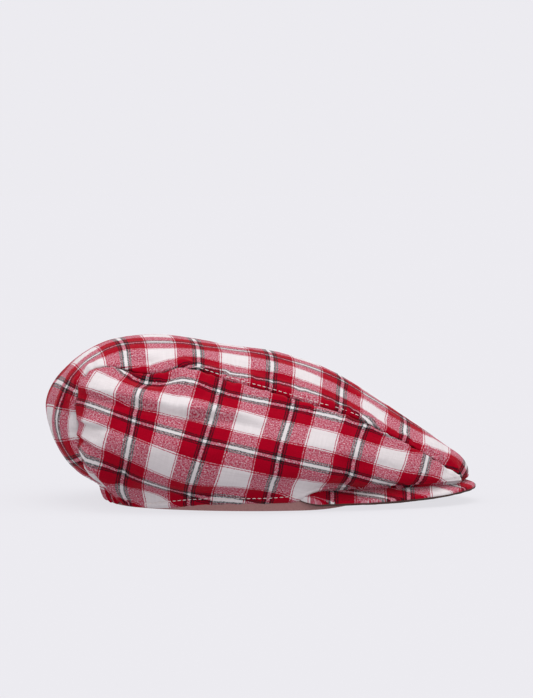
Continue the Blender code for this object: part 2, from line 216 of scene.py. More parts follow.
TOP_MARKS = [
    Mark(1, 1, -109.5, 68.2),
    Mark(1, None, -116, 75.5),
    Mark(2, None, -77, 94.7),
    Mark(2, None, -76.5, 83.5),
    Mark(3, 1, -35, 91.2),
    Mark(3, 0, -35.5, 82.4),
    Mark(4, 1, 6, 85.5),
    Mark(4, 0, 6, 74.0),
    Mark(5, 1, 47, 69.4),
    Mark(5, 0, 45.5, 59.8),
    Mark(6, None, 82.5, 46.4),
    Mark(6, None, 82.5, 41.4),
    Mark(7, 0, 119, 18.6),
    Mark(0.31, None, -114, 36.2),
    Mark(0.69, None, -121.5, 61.3),
    Mark(0.69, None, -115, 55.6),
    Mark(1.31, None, -105.5, 80.9),
    Mark(1.69, None, -91, 88.9),
    Mark(1.69, None, -89.5, 83.5),
    Mark(2.31, None, -65, 88.7),
    Mark(2.31, None, -64.5, 81.3),
    Mark(2.69, None, -48.5, 88.8),
    Mark(2.69, None, -48.5, 82.1),
    Mark(6.31, None, 93, 37.6),
    Mark(6.69, None, 108, 30.6),
    Mark(None, 2, -121.5, 64.2),
    Mark(None, 2, -116, 72.2),
    Mark(None, 1, -119, 43.0),
    Mark(None, 1, -117.5, 49.5),
    Mark(None, 1, -113.5, 62.2),
    Mark(None, 1, -106, 77.5),
    Mark(None, 1, -99, 85.5),
    Mark(None, 1, -86, 91.5),
    Mark(None, 1, -70.5, 92.5),
    Mark(None, 1, -56, 93.5),
    Mark(None, 1, -7.5, 88.1),
    Mark(None, 1, 17, 81.7),
    Mark(None, 1, 58, 64.3),
    Mark(None, 1, 70.5, 57.1),
    Mark(None, 1, 82.5, 49.5),
    Mark(None, 0.7, -85, 87.1),
    Mark(None, 0.7, -70.5, 89.9),
    Mark(None, 0.7, -55.5, 90.8),
    Mark(None, 0.7, 65, 59.1),
    Mark(None, 0.7, 76, 48.1),
    Mark(None, 0.7, 94.5, 39.8),
    Mark(None, 0.3, -55, 82.5),
    Mark(None, 0.3, 64.5, 51.1),
    Mark(None, 0.3, 94, 34.7),
    Mark(None, 0.3, 105.5, 27.4),
    Mark(None, 0.3, 117, 24.0),
    Mark(None, 0, -46, 83.4),
    Mark(None, 0, -41, 83.2),
    Mark(None, 0, -29, 80.3),
    Mark(None, 0, -22.5, 78.6),
    Mark(None, 0, -9, 75.0),
    Mark(None, 0, 25, 67.9),
    Mark(None, 0, 55.5, 56.2),
    Mark(None, 0, 114.5, 20.5),
]

# How far a mark pulls the check towards it, and how much of a mark's pull is given up for smoothness
MARK_REACH = 30 * MM
MARK_SLACK = 0.10

# Folds and creases: height over the cloth, half width on the left and on the right hand of the path,
# and the path. A crease has a height below zero. A fold fades towards the ends of its path, beside
# seams and hems, and on the top panel towards the middle.
Fold = namedtuple("Fold", "height left right path")
RIGHT_SIDE_FOLDS = [
    Fold(3.3, 8.0, 1.9, [(-106, 69), (-94, 68), (-79, 65), (-68, 63), (-55, 60), (-43, 58), (-28, 57)]),
    Fold(2.2, 6.0, 1.8, [(-46, 58), (-30, 57), (-12, 55), (4, 50)]),
    Fold(-3.0, 2.0, 4.0, [(-84, 80), (-73, 76), (-65, 73.5), (-57, 73), (-46, 77)]),
    Fold(1.6, 5.0, 3.0, [(-56, 69), (-43, 72), (-30, 69)]),
    Fold(3.0, 5.0, 1.6, [(-104, 37), (-98, 28), (-92, 22), (-86, 14), (-80, 4)]),
    Fold(-1.2, 1.8, 3.0, [(-76, 29), (-78, 19), (-81, 8)]),
    Fold(1.7, 3.0, 1.2, [(-107, 52), (-96, 50), (-84, 49)]),
    Fold(1.6, 3.0, 1.2, [(-106, 43), (-96, 40), (-87, 34)]),
    Fold(-1.2, 2.0, 4.0, [(51, 33), (48, 24), (47, 12)]),
    Fold(0.8, 6.0, 2.6, [(20, 41), (45, 34), (70, 29), (96, 22)]),
    Fold(-1.0, 2.4, 5.0, [(-74, 13), (-57, 10), (-34, 9), (-10, 11)]),
    Fold(0.9, 5.0, 2.6, [(-20, 26), (0, 22), (24, 21)]),
]
LEFT_SIDE_FOLDS = [
    Fold(2.4, 7.0, 2.0, [(-102, 66), (-86, 63), (-70, 62), (-52, 57), (-36, 55)]),
    Fold(-2.0, 2.4, 4.5, [(-74, 78), (-62, 74), (-50, 76)]),
    Fold(2.2, 5.0, 1.8, [(-104, 40), (-96, 27), (-88, 15), (-82, 5)]),
    Fold(1.4, 3.0, 1.5, [(-107, 54), (-94, 52), (-80, 47)]),
    Fold(1.3, 6.0, 2.4, [(-14, 52), (10, 44), (34, 41)]),
    Fold(-1.1, 2.4, 4.0, [(62, 36), (57, 25), (56, 14)]),
    Fold(-1.0, 2.4, 5.0, [(-66, 12), (-44, 10), (-18, 9)]),
]
RIGHT_TOP_FOLDS = [
    Fold(-1.6, 1.2, 3.0, [(44, 70), (60, 59), (72, 51), (84, 42)]),
    Fold(1.3, 4.0, 2.4, [(-92, 87), (-80, 89), (-66, 88), (-52, 85)]),
    Fold(1.3, 3.0, 2.0, [(-108, 79), (-113, 66), (-117, 55), (-118, 42)]),
    Fold(0.9, 3.5, 2.2, [(-32, 88), (-6, 84), (17, 77), (34, 71)]),
    Fold(0.9, 3.0, 1.8, [(88, 39), (103, 30), (114, 23)]),
]
LEFT_TOP_FOLDS = [
    Fold(-0.9, 1.4, 3.0, [(36, 72), (54, 62), (70, 52)]),
    Fold(0.8, 3.0, 3.0, [(-106, 80), (-112, 66), (-116, 52)]),
    Fold(0.6, 4.0, 3.0, [(-70, 89), (-44, 88), (-20, 84)]),
]
FOLD_END_POWER = 0.6
FOLD_FADE = 2 * MM
TOP_FOLD_FADE = 15 * MM

# The hollow on the right hand of a raised fold: its depth as a share of the fold's height, and its
# place and half width as shares of the fold's half width on that hand
HOLLOW_DEPTH = 0.65
HOLLOW_PLACE = 2.0
HOLLOW_WIDTH = 1.1

# Relief beside an edge: the heights that its rows add around their centres, distances from the edge
Profile = namedtuple("Profile", "height centre width")
TOP_SEAM_PROFILE = [
    Profile(-1.3, 0.0, 0.8),
    Profile(0.60, 3.2, 2.6),
    Profile(-0.45, 1.6, 0.7),
]
SIDE_SEAM_PROFILE = [
    Profile(-2.6, 0.0, 1.7),
    Profile(0.40, 4.5, 2.2),
]
HEM_PROFILE = [
    Profile(-2.4, 0.0, 1.5),
    Profile(0.25, 2.4, 1.2),
    Profile(-0.40, 3.4, 0.7),
]

# Puckers along an edge: a few waves, each with a length, a phase and a share
Wave = namedtuple("Wave", "length phase share")
SEAM_WAVES = [
    Wave(5.3, 1.9, 0.22),
    Wave(8.1, 4.1, 0.34),
    Wave(12.7, 2.2, 0.40),
    Wave(19.3, 0.3, 0.35),
]
GATHER_WAVES = [
    Wave(3.3, 0.4, 0.40),
    Wave(4.7, 2.6, 0.45),
    Wave(7.9, 5.0, 0.35),
]
TOP_PUCKER = 0.90 * MM
SIDE_PUCKER = 0.80 * MM
HEM_PUCKER = 0.16 * MM
PUCKER_REACH = 8 * MM
PUCKER_FADE = 1.2 * MM

# Gathers along the rear of the hem
GATHER_HEIGHT = 0.75 * MM
GATHER_REACH = 11 * MM
GATHER_END_X = -72 * MM
GATHER_FADE = 3 * MM

# Seams: two edges this near each other are one seam, and the top panel's edge laps unevenly over the
# side panel's
SEAM_CLOSE = 1.2 * MM
LAP = 1.5 * MM
LAP_WAVE = 0.6
LAP_WIDTH = 2.0 * MM

# The side panels' hem, drawn out and down around a place along the cap: softly all along the
# sweatband, and further at the rear and over the end of each of the peak's horns. It stays off the floor.
Drop = namedtuple("Drop", "x length out down")
HEM_DROPS = [
    Drop(-35, 45, 0.3, 1.8),
    Drop(-74, 15, 0.7, 2.4),
    Drop(20, 9, 0.9, 2.4),
]
HEM_DROP_REACH = 7 * MM
HEM_LOWEST = 0.4 * MM

# The side panels' front ends, drawn forward and in under the top panel's front
FRONT_END_LENGTH = 14 * MM
FRONT_END_MOVE = (3.6 * MM, 3.0 * MM, -0.4 * MM)

# Soft unevenness of the whole cloth
Swell = namedtuple("Swell", "height size")
SWELLS = [
    Swell(0.55 * MM, 22 * MM),
    Swell(0.22 * MM, 8 * MM),
    Swell(0.08 * MM, 3 * MM),
]

# Peak's cloth: a line of the check across it, one along it and the radius it bends down with
PEAK_LINE_X = 40.4 * MM
PEAK_LINE_ARC = 62.8 * MM
PEAK_BEND_RADIUS = 101 * MM
PEAK_SWELLS = [
    Swell(0.25 * MM, 9 * MM),
    Swell(0.12 * MM, 3.5 * MM),
]

# The painted shade under the peak, a plain dark colour on the check, starts where the cloth turns down,
# by the normal's share downwards
UNDERSIDE_SHADE_START = 0.0
UNDERSIDE_SHADE_BLEND = 0.12

# The ends of the peak's horns, drawn in under the hem, and the rise in their upper side
HORN_LENGTH = 16 * MM
HORN_MOVE = (0.0, 3.4 * MM, 3.6 * MM)
HORN_RISE = 3.0 * MM
HORN_RISE_X = 29 * MM
HORN_RISE_LENGTH = 10 * MM

# Sweatband and the casing at the rear: the casing's check runs round a centre, is gathered by a ratio
# and starts at a place round and up the casing, whose top rises to meet the hem
SWEATBAND_ROUNDING = 0.6 * MM
BAND_CENTRE_X = -5.4 * MM
BAND_RADIUS = 80 * MM
GATHER_RATIO = 1.2
BAND_LINE = 31 * MM
BAND_ROW = 6 * MM
BAND_GATHER = 0.55 * MM
BAND_RISE = 1.7 * MM

# Both bands lean in towards the floor at the rear
LEAN = 4.3 * MM
LEAN_HEIGHT = 13 * MM
LEAN_START_X = -72 * MM
LEAN_LENGTH = 20 * MM

# Camera: the photograph's 533 by 698 pixels, its longer side on the sensor
SENSOR = 36.0
EYE_DISTANCE = 2.0
EYE_ELEVATION = radians(2.6)
AIM = Vector((0.0032, 0.0, 0.0886))
VIEW_HEIGHT = 0.4076

# Floor
FLOOR_SIZE = 400.0

# Light: a dome that is even all round, bright overhead, and a little brighter from the photograph's
# side and from both ends of the cap
DOME_EVEN = 0.30
DOME_OVERHEAD = 5.2
OVERHEAD_POWER = 7
DOME_FRONT = 1.7
FRONT_POWER = 3
DOME_SIDES = 1.3
SIDES_POWER = 3


def select_only(piece):
    """Selects one object and makes it active."""
    for other in bpy.context.selected_objects:
        other.select_set(False)
    piece.select_set(True)
    bpy.context.view_layer.objects.active = piece


def add_piece(name, mesh):
    """A new object, ready to be worked on."""
    piece = bpy.data.objects.new(name, mesh)
    bpy.context.scene.collection.objects.link(piece)
    select_only(piece)
    return piece


def apply_modifier(piece, kind, **settings):
    """Adds a modifier with these settings and applies it."""
    select_only(piece)
    modifier = piece.modifiers.new(kind.lower(), kind)
    for name, value in settings.items():
        setattr(modifier, name, value)
    bpy.ops.object.modifier_apply(modifier=modifier.name)


def make_fine(piece, levels):
    """Rounds and divides a piece's faces."""
    apply_modifier(piece, "SUBSURF", levels=levels, render_levels=levels)


def places_of(mesh):
    """A mesh's vertices as an array."""
    places = np.zeros(3 * len(mesh.vertices))
    mesh.vertices.foreach_get("co", places)
    return places.reshape(-1, 3)


def set_places(mesh, places):
    """Moves a mesh's vertices."""
    mesh.vertices.foreach_set("co", places.ravel())
    mesh.update()


def normals_of(mesh):
    """A mesh's vertex normals as an array."""
    normals = np.zeros(3 * len(mesh.vertices))
    mesh.vertex_normals.foreach_get("vector", normals)
    return normals.reshape(-1, 3)


def corner_vertices(mesh):
    """The vertex number of each face corner."""
    numbers = np.zeros(len(mesh.loops), int)
    mesh.loops.foreach_get("vertex_index", numbers)
    return numbers


def fade_out(distance, reach):
    """From 1 to 0 over a distance, in a bell's shape."""
    return np.exp(-((distance / reach) ** 2))


def fade_in(distance, reach):
    """From 0 to 1 over a distance."""
    return 1 - fade_out(distance, reach)


def islands_of(work):
    """The groups of faces that hang together."""
    groups, seen = [], set()
    for first in work.faces:
        if first in seen:
            continue
        seen.add(first)
        group, waiting = [], [first]
        while waiting:
            face = waiting.pop()
            group.append(face)
            near = {other for edge in face.edges for other in edge.link_faces} - seen
            seen |= near
            waiting.extend(near)
        groups.append(group)
    return groups


def open_copy(node, name):
    """A copy of a solid, and its mesh with the corners merged, open for work."""
    piece = add_piece(name, frame["nodes"][node].data.copy())
    work = bmesh.new()
    work.from_mesh(piece.data)
    bmesh.ops.remove_doubles(work, verts=work.verts, dist=SAME_CORNER)
    return piece, work


def close_copy(piece, work, angle):
    """Joins the triangles that meet at up to an angle, and puts the mesh back."""
    bmesh.ops.join_triangles(
        work, faces=work.faces, angle_face_threshold=angle, angle_shape_threshold=pi
    )
    work.to_mesh(piece.data)
    work.free()


def outer_side(node, name):
    """The outer side of a cloth panel's solid, without its inside and its edge, in four-sided faces."""
    piece, work = open_copy(node, name)
    across_wall = {
        edge for edge in work.edges if abs(edge.calc_length() - CLOTH_WALL) < WALL_TOLERANCE
    }
    rim = [face for face in work.faces if across_wall & set(face.edges)]
    bmesh.ops.delete(work, geom=rim, context="FACES_ONLY")
    bare = [edge for edge in work.edges if not edge.link_faces]
    bmesh.ops.delete(work, geom=bare, context="EDGES")
    outer = max(islands_of(work), key=lambda group: sum(face.calc_area() for face in group))
    inner = set(work.faces) - set(outer)
    bmesh.ops.delete(work, geom=list(inner), context="FACES")
    close_copy(piece, work, pi)
    return piece


def whole_solid(node, name):
    """A copy of a whole solid, in four-sided faces."""
    piece, work = open_copy(node, name)
    close_copy(piece, work, QUAD_ANGLE)
    return piece


def flat_places(piece):
    """Where each vertex lies when the cloth is laid flat at its real size."""
    mesh = piece.data
    select_only(piece)
    bpy.ops.object.mode_set(mode="EDIT")
    bpy.ops.mesh.select_all(action="SELECT")
    bpy.ops.uv.unwrap(method="MINIMUM_STRETCH", margin=0.0, iterations=UNWRAP_ROUNDS)
    bpy.ops.object.mode_set(mode="OBJECT")
    corners = np.zeros(2 * len(mesh.loops))
    mesh.uv_layers.active.data.foreach_get("uv", corners)
    flat = np.zeros((len(mesh.vertices), 2))
    flat[corner_vertices(mesh)] = corners.reshape(-1, 2)
    edges = np.array([edge.vertices[:] for edge in mesh.edges])
    places = places_of(mesh)
    real = np.linalg.norm(places[edges[:, 0]] - places[edges[:, 1]], axis=1)
    laid = np.linalg.norm(flat[edges[:, 0]] - flat[edges[:, 1]], axis=1)
    return flat * (real @ laid) / (laid @ laid)


def flat_spot(piece, flat, mark, side):
    """Where a mark lies on the flat cloth, and how squarely the cloth faces there: it is seen square
    on from the right, -1, or the left, 1."""
    start = Vector((mark.x * MM, side, mark.z * MM))
    found, place, normal, index = piece.ray_cast(start, Vector((0, -side, 0)))
    if not found:
        return None
    corners = piece.data.polygons[index].vertices[:]
    shares = poly_3d_calc([piece.data.vertices[corner].co for corner in corners], place)
    return np.array(shares) @ flat[list(corners)], abs(normal.y)


def kernel(a, b):
    """How strongly each place in a is pulled by each place in b."""
    return fade_out(np.linalg.norm(a[:, None] - b[None], axis=2), MARK_REACH)


def write_check(piece, check):
    """Writes each vertex's place in the check to the piece's own UV map."""
    mesh = piece.data
    layer = mesh.uv_layers.active or mesh.uv_layers.new()
    layer.name = "check"
    layer.data.foreach_set("uv", check[corner_vertices(mesh)].ravel())


def lay_check(piece, marks, side):
    """A mark counts less the further the cloth turns away from the eye there."""
    flat = flat_places(piece)
    periods = {"across": ACROSS_PERIOD, "along": ALONG_PERIOD}
    spots, facing, wanted, slopes = {}, {}, {}, []
    for line, period in periods.items():
        rows = [mark for mark in marks if getattr(mark, line) is not None]
        found = [(flat_spot(piece, flat, mark, side), getattr(mark, line)) for mark in rows]
        found = [(*spot, number) for spot, number in found if spot is not None]
        spots[line] = np.array([spot for spot, _, _ in found])
        facing[line] = np.array([share for _, share, _ in found])
        wanted[line] = np.array([number * period for _, _, number in found])
        terms = np.column_stack([spots[line], np.ones(len(found))]) * facing[line][:, None]
        slopes.append(np.linalg.lstsq(terms, wanted[line] * facing[line], rcond=None)[0][:2])
    left, _, right = np.linalg.svd(np.array(slopes))
    grain = left @ right
    check = np.zeros_like(flat)
    for column, line in enumerate(periods):
        rest = wanted[line] - spots[line] @ grain[column]
        shift = np.average(rest, weights=facing[line] ** 2)
        pull = kernel(spots[line], spots[line]) + np.diag(MARK_SLACK / facing[line] ** 2)
        weights = np.linalg.solve(pull, rest - shift)
        check[:, column] = flat @ grain[column] + shift + kernel(flat, spots[line]) @ weights
    write_check(piece, check)


def new_node(tree, kind, **settings):
    """A node with some of its settings changed."""
    node = tree.nodes.new(kind)
    for name, value in settings.items():
        setattr(node, name, value)
    return node


def feed(tree, socket, value):
    """Links a socket to an input, or sets the input to a value."""
    if isinstance(value, bpy.types.NodeSocket):
        tree.links.new(value, socket)
    else:
        socket.default_value = value


def calculate(tree, operation, *values):
    """A Math node's result."""
    node = new_node(tree, "ShaderNodeMath", operation=operation)
    for socket, value in zip(node.inputs, values):
        feed(tree, socket, value)
    return node.outputs[0]


def mix_colours(tree, factor, first, second):
    """A Mix node's colour. The node has sockets of every kind, and its colour sockets go by number."""
    node = new_node(tree, "ShaderNodeMix", data_type="RGBA")
    feed(tree, node.inputs["Factor"], factor)
    feed(tree, node.inputs[6], first)
    feed(tree, node.inputs[7], second)
    return node.outputs[2]


def shades_of(colour, shares):
    """A colour's darker and lighter shade."""
    return [(*[part * share for part in colour], 1.0) for share in shares]


def speckle(tree, place, sizes, detail=1.0):
    """Noise whose grains have these sizes in metres along the three axes."""
    scaled = new_node(tree, "ShaderNodeVectorMath", operation="DIVIDE")
    feed(tree, scaled.inputs[0], place)
    scaled.inputs[1].default_value = sizes
    node = new_node(tree, "ShaderNodeTexNoise")
    node.inputs["Scale"].default_value = 1.0
    node.inputs["Detail"].default_value = detail
    tree.links.new(scaled.outputs[0], node.inputs["Vector"])
    return node.outputs["Fac"]


def both_ways(tree, place, sizes):
    """Noise with grains that lie along the lengthwise yarns, and the same along the crosswise yarns."""
    return [speckle(tree, place, (*turned, 1.0), detail=2.0) for turned in (sizes, sizes[::-1])]


def new_group(name, inputs, outputs):
    """A node group with named inputs and outputs, and its two end nodes."""
    tree = bpy.data.node_groups.new(name, "ShaderNodeTree")
    for label, kind in inputs:
        tree.interface.new_socket(label, in_out="INPUT", socket_type=kind)
    for label, kind in outputs:
        tree.interface.new_socket(label, in_out="OUTPUT", socket_type=kind)
    return tree, tree.nodes.new("NodeGroupInput"), tree.nodes.new("NodeGroupOutput")


def place_group(tree, group, **values):
    """Puts a group in a material, with its inputs given by name."""
    node = new_node(tree, "ShaderNodeGroup", node_tree=group)
    for name, value in values.items():
        feed(tree, node.inputs[name], value)
    return node


def yarn_stripes_group():
    """The colour of the yarn at a place across the stripes."""
    tree, start, end = new_group(
        "yarn_stripes",
        [("Place", "NodeSocketFloat"), ("Period", "NodeSocketFloat")],
        [("Colour", "NodeSocketColor")],
    )
    share = calculate(tree, "DIVIDE", start.outputs["Place"], start.outputs["Period"])
    folded = calculate(tree, "PINGPONG", share, 0.5)
    half = calculate(tree, "MULTIPLY", folded, 2.0)
    ramp = new_node(tree, "ShaderNodeValToRGB")
    ramp.color_ramp.interpolation = "CONSTANT"
    stops = ramp.color_ramp.elements
    stops.remove(stops[1])
    stops[0].color = (*STRIPES[0].colour, 1.0)
    for stripe in STRIPES[1:]:
        stops.new(stripe.start).color = (*stripe.colour, 1.0)
    feed(tree, ramp.inputs["Fac"], half)
    feed(tree, end.inputs["Colour"], ramp.outputs["Color"])
    return tree


def woven_check_group(stripes):
    """Check cloth: lengthwise yarns over crosswise yarns, mixed as the eye sees them from afar."""
    tree, start, end = new_group(
        "woven_check",
        [("Place", "NodeSocketVector"), ("Slub", "NodeSocketFloat"), ("Streak", "NodeSocketFloat")],
        [("Colour", "NodeSocketColor"), ("Height", "NodeSocketFloat")],
    )
    place = start.outputs["Place"]
    split = new_node(tree, "ShaderNodeSeparateXYZ")
    feed(tree, split.inputs[0], place)
    yarns = []
    for axis, period in (("X", ACROSS_PERIOD), ("Y", ALONG_PERIOD)):
        loose = calculate(tree, "SUBTRACT", speckle(tree, place, (WANDER_SIZE,) * 3), 0.5)
        moved = calculate(tree, "MULTIPLY_ADD", loose, WANDER, split.outputs[axis])
        yarn = place_group(tree, stripes, Place=moved, Period=period).outputs["Colour"]
        seen = new_node(tree, "ShaderNodeGamma")
        seen.inputs["Gamma"].default_value = 1 / EYE_GAMMA
        feed(tree, seen.inputs["Color"], yarn)
        yarns.append(seen.outputs[0])
    difference = calculate(tree, "SUBTRACT", *both_ways(tree, place, SLUB_SIZES))
    shown = calculate(tree, "MULTIPLY_ADD", difference, start.outputs["Slub"], 0.5)
    mixed = mix_colours(tree, shown, yarns[0], yarns[1])
    linear = new_node(tree, "ShaderNodeGamma")
    linear.inputs["Gamma"].default_value = EYE_GAMMA
    feed(tree, linear.inputs["Color"], mixed)
    streaks = [calculate(tree, "SUBTRACT", way, 0.5) for way in both_ways(tree, place, STREAK_SIZES)]
    streak = calculate(tree, "ADD", *streaks)
    even = calculate(tree, "MULTIPLY_ADD", streak, start.outputs["Streak"], 1.0)
    contrast = new_node(tree, "ShaderNodeVectorMath", operation="DISTANCE")
    feed(tree, contrast.inputs[0], yarns[0])
    feed(tree, contrast.inputs[1], yarns[1])
    shade = calculate(tree, "MULTIPLY_ADD", contrast.outputs["Value"], -CROSSING_SHADE, even)
    shaded = new_node(tree, "ShaderNodeVectorMath", operation="SCALE")
    feed(tree, shaded.inputs[0], linear.outputs[0])
    feed(tree, shaded.inputs["Scale"], shade)
    feed(tree, end.inputs["Colour"], shaded.outputs[0])
    turns = [
        calculate(tree, "SINE", calculate(tree, "MULTIPLY", split.outputs[axis], pi / THREAD_PITCH))
        for axis in ("X", "Y")
    ]
    weave = calculate(tree, "MULTIPLY", *turns)
    feed(tree, end.inputs["Height"], weave)
    return tree


def crumple_group():
    """Soft unevenness of worn-in cloth, as a height."""
    tree, start, end = new_group(
        "crumple",
        [("Place", "NodeSocketVector"), ("Weave", "NodeSocketFloat"), ("Depth", "NodeSocketFloat")],
        [("Height", "NodeSocketFloat")],
    )
    place = start.outputs["Place"]
    wide = speckle(tree, place, (WIDE_CRUMPLE,) * 3, detail=3.0)
    fine = speckle(tree, place, (FINE_CRUMPLE,) * 3, detail=2.0)
    both = calculate(tree, "MULTIPLY_ADD", fine, FINE_CRUMPLE_SHARE, wide)
    height = calculate(tree, "MULTIPLY", both, start.outputs["Depth"])
    total = calculate(tree, "MULTIPLY_ADD", start.outputs["Weave"], WEAVE_DEPTH, height)
    feed(tree, end.inputs["Height"], total)
    return tree


STRIPES_GROUP = yarn_stripes_group()
CHECK_GROUP = woven_check_group(STRIPES_GROUP)
CRUMPLE_GROUP = crumple_group()


def new_material(name, roughness, sheen=0.0):
    """A matt material with even values on its shader."""
    material = bpy.data.materials.new(name)
    material.use_nodes = True
    shader = material.node_tree.nodes["Principled BSDF"]
    shader.inputs["Roughness"].default_value = roughness
    shader.inputs["Specular IOR Level"].default_value = 0.0
    shader.inputs["Sheen Weight"].default_value = sheen
    shader.inputs["Sheen Roughness"].default_value = SHEEN_ROUGHNESS
    return material, material.node_tree, shader


def add_bump(tree, shader, height):
    """Feeds a height in metres to a shader's normal."""
    bump = new_node(tree, "ShaderNodeBump")
    bump.inputs["Distance"].default_value = 1.0
    bump.inputs["Strength"].default_value = 1.0
    feed(tree, bump.inputs["Height"], height)
    feed(tree, shader.inputs["Normal"], bump.outputs["Normal"])


def check_material():
    """Red, white and black check cotton, with painted shade in a plain dark colour where a piece's mesh
    says so.
    """
    material, tree, shader = new_material("check_cotton", CLOTH_ROUGHNESS, CLOTH_SHEEN)
    check = new_node(tree, "ShaderNodeUVMap", uv_map="check").outputs["UV"]
    cloth = place_group(tree, CHECK_GROUP, Place=check, Slub=SLUB, Streak=STREAK)
    object_place = new_node(tree, "ShaderNodeTexCoord").outputs["Object"]
    crumple = place_group(
        tree, CRUMPLE_GROUP, Place=object_place, Weave=cloth.outputs["Height"], Depth=CHECK_CRUMPLE
    )
    # Painted shade: the faces that turn down take a plain dark colour
    painted_shade = new_node(tree, "ShaderNodeAttribute", attribute_name="painted_shade").outputs["Fac"]
    colour = mix_colours(tree, painted_shade, cloth.outputs["Colour"], (*PEAK_UNDERSIDE_SHADE, 1.0))
    feed(tree, shader.inputs["Base Color"], colour)
    add_bump(tree, shader, crumple.outputs["Height"])
    return material


def rose_material():
    """Plain rose-brown cotton of the sweatband."""
    material, tree, shader = new_material("sweatband_cotton", CLOTH_ROUGHNESS, CLOTH_SHEEN)
    place = new_node(tree, "ShaderNodeTexCoord").outputs["Object"]
    shade = speckle(tree, place, (ROSE_GRAIN,) * 3, detail=2.0)
    colour = mix_colours(tree, shade, *shades_of(ROSE_CLOTH, ROSE_SHADES))
    crumple = place_group(tree, CRUMPLE_GROUP, Place=place, Weave=0.0, Depth=ROSE_CRUMPLE)
    feed(tree, shader.inputs["Base Color"], colour)
    add_bump(tree, shader, crumple.outputs["Height"])
    return material


def thread_material():
    """Off-white sewing thread."""
    material, tree, shader = new_material("sewing_thread", THREAD_ROUGHNESS)
    place = new_node(tree, "ShaderNodeTexCoord").outputs["Object"]
    shade = speckle(tree, place, (THREAD_GRAIN,) * 3)
    colour = mix_colours(tree, shade, *shades_of(THREAD_WHITE, THREAD_SHADES))
    feed(tree, shader.inputs["Base Color"], colour)
    return material


CHECK_COTTON = check_material()
ROSE_COTTON = rose_material()
SEWING_THREAD = thread_material()


def dress(piece, material):
    """Gives a finished piece its material, body and slot."""
    piece.data.materials.clear()
    piece.data.materials.append(material)
    piece.data.shade_smooth()
    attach(piece, "root")


def rim_of(mesh):
    """A sheet's edge: its vertices in order, and how far along the edge each lies."""
    faces_at = {}
    for face in mesh.polygons:
        for key in face.edge_keys:
            faces_at[key] = faces_at.get(key, 0) + 1
    joined = {}
    for (a, b), count in faces_at.items():
        if count == 1:
            joined.setdefault(a, []).append(b)
            joined.setdefault(b, []).append(a)
    first = min(joined)
    order, before, here = [first], None, first
    while True:
        after = next(vertex for vertex in joined[here] if vertex != before)
        if after == first:
            break
        order.append(after)
        before, here = here, after
    places = places_of(mesh)[order]
    steps = np.linalg.norm(np.diff(places, axis=0), axis=1)
    return places, np.concatenate([[0], np.cumsum(steps)])


def rims_of(panels):
    """The rims of some panels, as places."""
    return np.vstack([rim_of(panel.data)[0] for panel in panels])


def nearest(line, places):
    """For each place, the number of a line's closest point and how far off it is."""
    tree = kdtree.KDTree(len(line))
    for number, point in enumerate(line):
        tree.insert(point, number)
    tree.balance()
    found = [tree.find(place) for place in places]
    return np.array([number for _, number, _ in found]), np.array([off for _, _, off in found])


def profile_height(profile, distance):
    """Relief at a distance from an edge."""
    return sum(row.height * MM * fade_out(distance / MM - row.centre, row.width) for row in profile)


def ripple(waves, run):
    """An uneven ripple along an edge."""
    return sum(wave.share * np.sin(2 * pi * run / (wave.length * MM) + wave.phase) for wave in waves)


def fold_height(places, folds):
    """Relief of the folds at places seen square on from the right."""
    spots = places[:, [0, 2]] / MM
    total = np.zeros(len(spots))
    for fold in folds:
        path = np.array(fold.path)
        runs = np.diff(path, axis=0)
        lengths = np.linalg.norm(runs, axis=1)
        starts = np.concatenate([[0], np.cumsum(lengths)])
        closest = np.full(len(spots), np.inf)
        share = np.zeros(len(spots))
        hand = np.zeros(len(spots))
        for start, run, length, before in zip(path, runs, lengths, starts):
            offset = spots - start
            along = np.clip(offset @ run / length**2, 0, 1)
            distance = np.linalg.norm(offset - along[:, None] * run, axis=1)
            nearer = distance < closest
            closest[nearer] = distance[nearer]
            share[nearer] = (before + along[nearer] * length) / starts[-1]
            hand[nearer] = (run[0] * offset[:, 1] - run[1] * offset[:, 0])[nearer]
        width = np.where(hand > 0, fold.left, fold.right)
        fade = np.sin(pi * share) ** FOLD_END_POWER
        form = fade_out(closest, width)
        if fold.height > 0:
            signed = np.where(hand > 0, -closest, closest) / fold.right
            form -= HOLLOW_DEPTH * fade_out(signed - HOLLOW_PLACE, HOLLOW_WIDTH)
        total += fold.height * MM * fade * form
    return total


def swell_height(places, swells):
    """Relief of the cloth's soft unevenness."""
    total = np.zeros(len(places))
    for swell in swells:
        total += swell.height * np.array([noise.noise(Vector(place / swell.size)) for place in places])
    return total


def hem_relief(places, run, distance):
    """Relief beside a hem: its edge, its stitched row and, at the rear, the gathers."""
    height = profile_height(HEM_PROFILE, distance)
    height += HEM_PUCKER * ripple(SEAM_WAVES, run) * fade_out(distance, PUCKER_REACH)
    rear = 1 / (1 + np.exp((places[:, 0] - GATHER_END_X) / GATHER_FADE))
    gathers = ripple(GATHER_WAVES, run) * fade_out(distance, GATHER_REACH)
    return height + GATHER_HEIGHT * rear * gathers


def seam_relief(profile, pucker, run, distance):
    """Relief beside a seam."""
    puckers = ripple(SEAM_WAVES, run) * fade_out(distance, PUCKER_REACH)
    return profile_height(profile, distance) + pucker * puckers * fade_in(distance, PUCKER_FADE)


def draw_in(places, end_x, length, move):
    """Moves the cloth near an end by up to a move whose second length is towards the middle."""
    share = np.clip(1 - np.abs(end_x - places[:, 0]) / length, 0, 1)[:, None] ** 2
    sideways = -np.sign(places[:, 1])[:, None]
    return share * np.hstack([
        np.full_like(share, move[0]), move[1] * sideways, np.full_like(share, move[2])
    ])


def drop_hem(places, distance):
    """Moves the hem out and down."""
    near = fade_out(distance, HEM_DROP_REACH) * MM
    moved = np.zeros_like(places)
    for drop in HEM_DROPS:
        share = near * fade_out(places[:, 0] / MM - drop.x, drop.length)
        moved[:, 1] += share * drop.out * np.sign(places[:, 1])
        moved[:, 2] -= share * drop.down
    return moved


